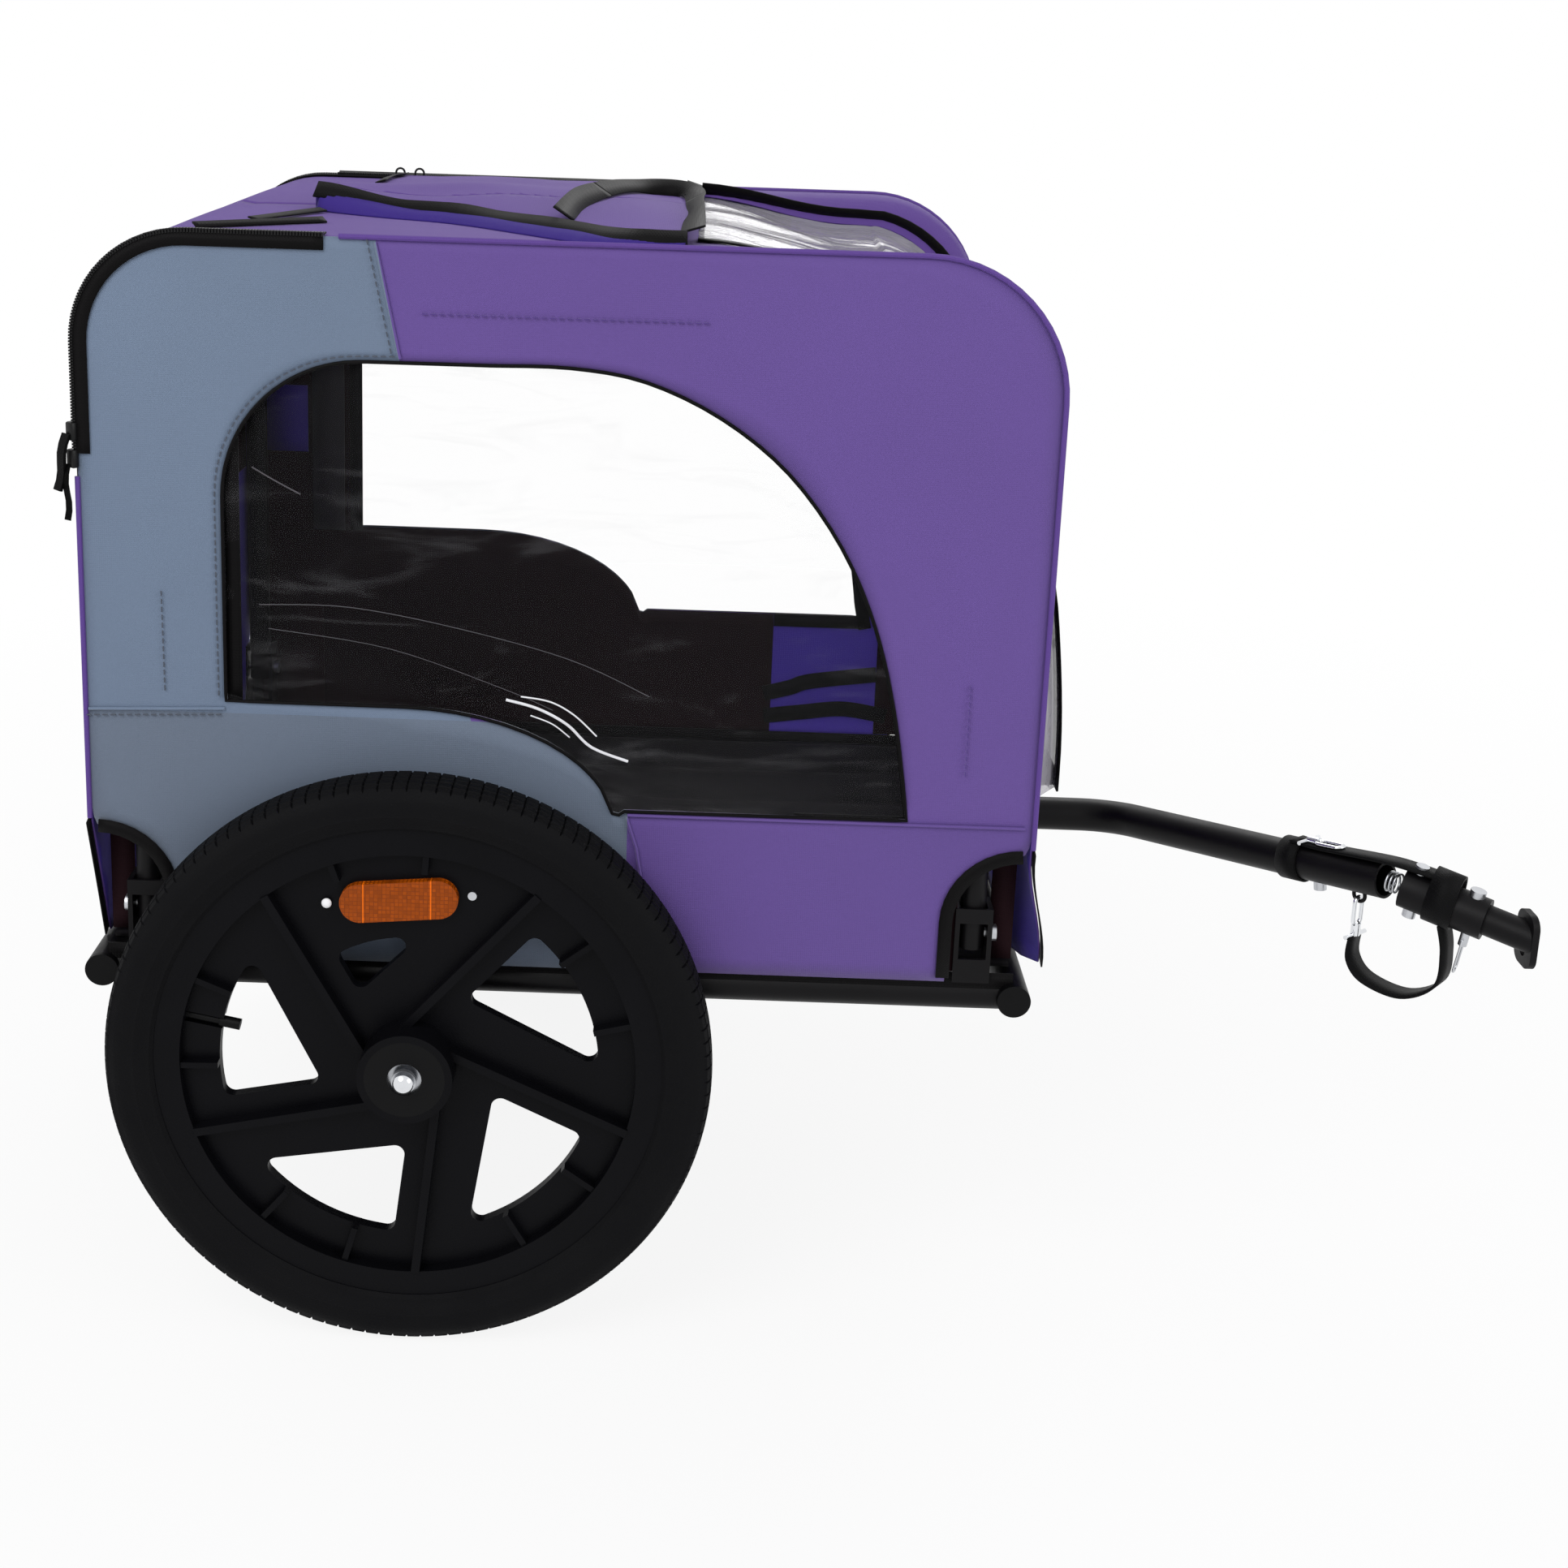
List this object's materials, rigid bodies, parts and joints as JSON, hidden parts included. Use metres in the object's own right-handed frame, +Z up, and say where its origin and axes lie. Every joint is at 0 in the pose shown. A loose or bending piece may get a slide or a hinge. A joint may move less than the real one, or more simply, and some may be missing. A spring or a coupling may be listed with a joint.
{
  "type": "dog bike trailer",
  "caption": "Two-wheeled pet trailer for a bicycle: fabric cabin with clear windows on a folding tube frame, moulded wheels and an offset tow arm.",
  "frame": {"origin": "on the ground, under the middle of the overall length and width", "axes": "+X forward to the bicycle, +Y to the left, +Z up"},
  "size_m": [1.2534, 0.7346, 0.9428],
  "materials": {
    "black_frame": "satin black powder coat",
    "zinc_steel": "bright zinc plate",
    "chrome": "polished",
    "bearing_steel": "ground",
    "purple_fabric": "coated oxford weave",
    "black_fabric": "coarse weave over a stiff board",
    "webbing": "woven webbing",
    "clear_vinyl": "clear film",
    "black_plastic": "fine moulded grain",
    "tyre": "moulded tread",
    "amber_lens": "prismatic lens",
    "white_lens": "prismatic lens",
    "red_lens": "prismatic lens"
  },
  "bodies": {
    "chassis": {"front_cross_tube": "black_frame", "rear_cross_tube": "black_frame", "tube_end_caps": "black_plastic", "floor_mat": "black_fabric", "front_panel": "purple_fabric", "front_window": "clear_vinyl", "roof_panel": "purple_fabric", "roof_flap": "purple_fabric", "skylight": "clear_vinyl", "rear_panel": "purple_fabric", "front_reflectors": "white_lens", "rear_reflectors": "red_lens", "arm_bracket": "black_frame", "arm_pivot_bolt": "zinc_steel", "right_side_rail": "black_frame", "right_fold_brackets": "black_frame", "right_fold_bolts": "zinc_steel", "right_wheel_bracket": "black_frame", "right_axle": "zinc_steel", "right_skirt": "purple_fabric", "left_side_rail": "black_frame", "left_fold_brackets": "black_frame", "left_fold_bolts": "zinc_steel", "left_wheel_bracket": "black_frame", "left_axle": "zinc_steel", "left_skirt": "purple_fabric"},
    "right_frame": {"right_side_frame": "black_frame", "right_side_panel": "purple_fabric", "right_side_window": "clear_vinyl"},
    "right_wheel": {"right_tyre": "tyre", "right_wheel": "black_plastic", "right_hub_cap": "black_plastic", "right_wheel_bearings": "bearing_steel", "right_wheel_reflector": "amber_lens", "right_reflector_screw": "zinc_steel", "right_valve": "black_plastic"},
    "right_button": {"right_release_button": "chrome"},
    "left_frame": {"left_side_frame": "black_frame", "left_side_panel": "purple_fabric", "left_side_window": "clear_vinyl"},
    "left_wheel": {"left_tyre": "tyre", "left_wheel": "black_plastic", "left_hub_cap": "black_plastic", "left_wheel_bearings": "bearing_steel", "left_wheel_reflector": "amber_lens", "left_reflector_screw": "zinc_steel", "left_valve": "black_plastic"},
    "left_button": {"left_release_button": "chrome"},
    "rear_door": {"rear_flap": "purple_fabric"},
    "tow_arm": {"tow_arm": "black_frame", "arm_bolt": "zinc_steel", "snap_hooks": "chrome", "arm_webbing": "webbing", "hitch_spring": "zinc_steel"},
    "hitch": {"coupler_sleeve": "black_frame", "coupler_bolt": "zinc_steel", "axle_hitch": "black_frame", "hitch_pin": "zinc_steel", "hitch_pin_clip": "zinc_steel", "safety_strap": "webbing"}
  },
  "joints": [
    {"name": "right_wheel_spin", "type": "hinge", "parent": "chassis", "child": "right_wheel", "pos_m": [-0.34725, -0.323, 0.25], "axis": [0, 1, 0], "continuous": true},
    {"name": "right_button_press", "type": "slide", "parent": "chassis", "child": "right_button", "axis": [0, 1, 0], "range_m": [0, 0.004], "stiffness_N_per_m": 600},
    {"name": "left_wheel_spin", "type": "hinge", "parent": "chassis", "child": "left_wheel", "pos_m": [-0.34725, 0.323, 0.25], "axis": [0, 1, 0], "continuous": true},
    {"name": "left_button_press", "type": "slide", "parent": "chassis", "child": "left_button", "axis": [0, -1, 0], "range_m": [0, 0.004], "stiffness_N_per_m": 600},
    {"name": "right_frame_fold", "type": "hinge", "parent": "chassis", "child": "right_frame", "pos_m": [-0.22825, -0.275, 0.36], "axis": [-1, 0, 0], "range_deg": [0, 90]},
    {"name": "left_frame_fold", "type": "hinge", "parent": "chassis", "child": "left_frame", "pos_m": [-0.22825, 0.275, 0.387], "axis": [1, 0, 0], "range_deg": [0, 90]},
    {"name": "rear_door_lift", "type": "hinge", "parent": "chassis", "child": "rear_door", "pos_m": [-0.61475, 0, 0.834], "axis": [0, 1, 0], "range_deg": [0, 100]},
    {"name": "tow_arm_fold", "type": "hinge", "parent": "chassis", "child": "tow_arm", "pos_m": [0.20075, 0.17, 0.289], "axis": [0, 0, 1], "range_deg": [-45, 0]},
    {"name": "hitch_flex", "type": "hinge", "parent": "tow_arm", "child": "hitch", "pos_m": [0.52475, -0.106, 0.344], "axis": [0, 0, 1], "range_deg": [-20, 20], "stiffness_Nm_per_rad": 60, "deforming": ["hitch_spring"]}
  ]
}
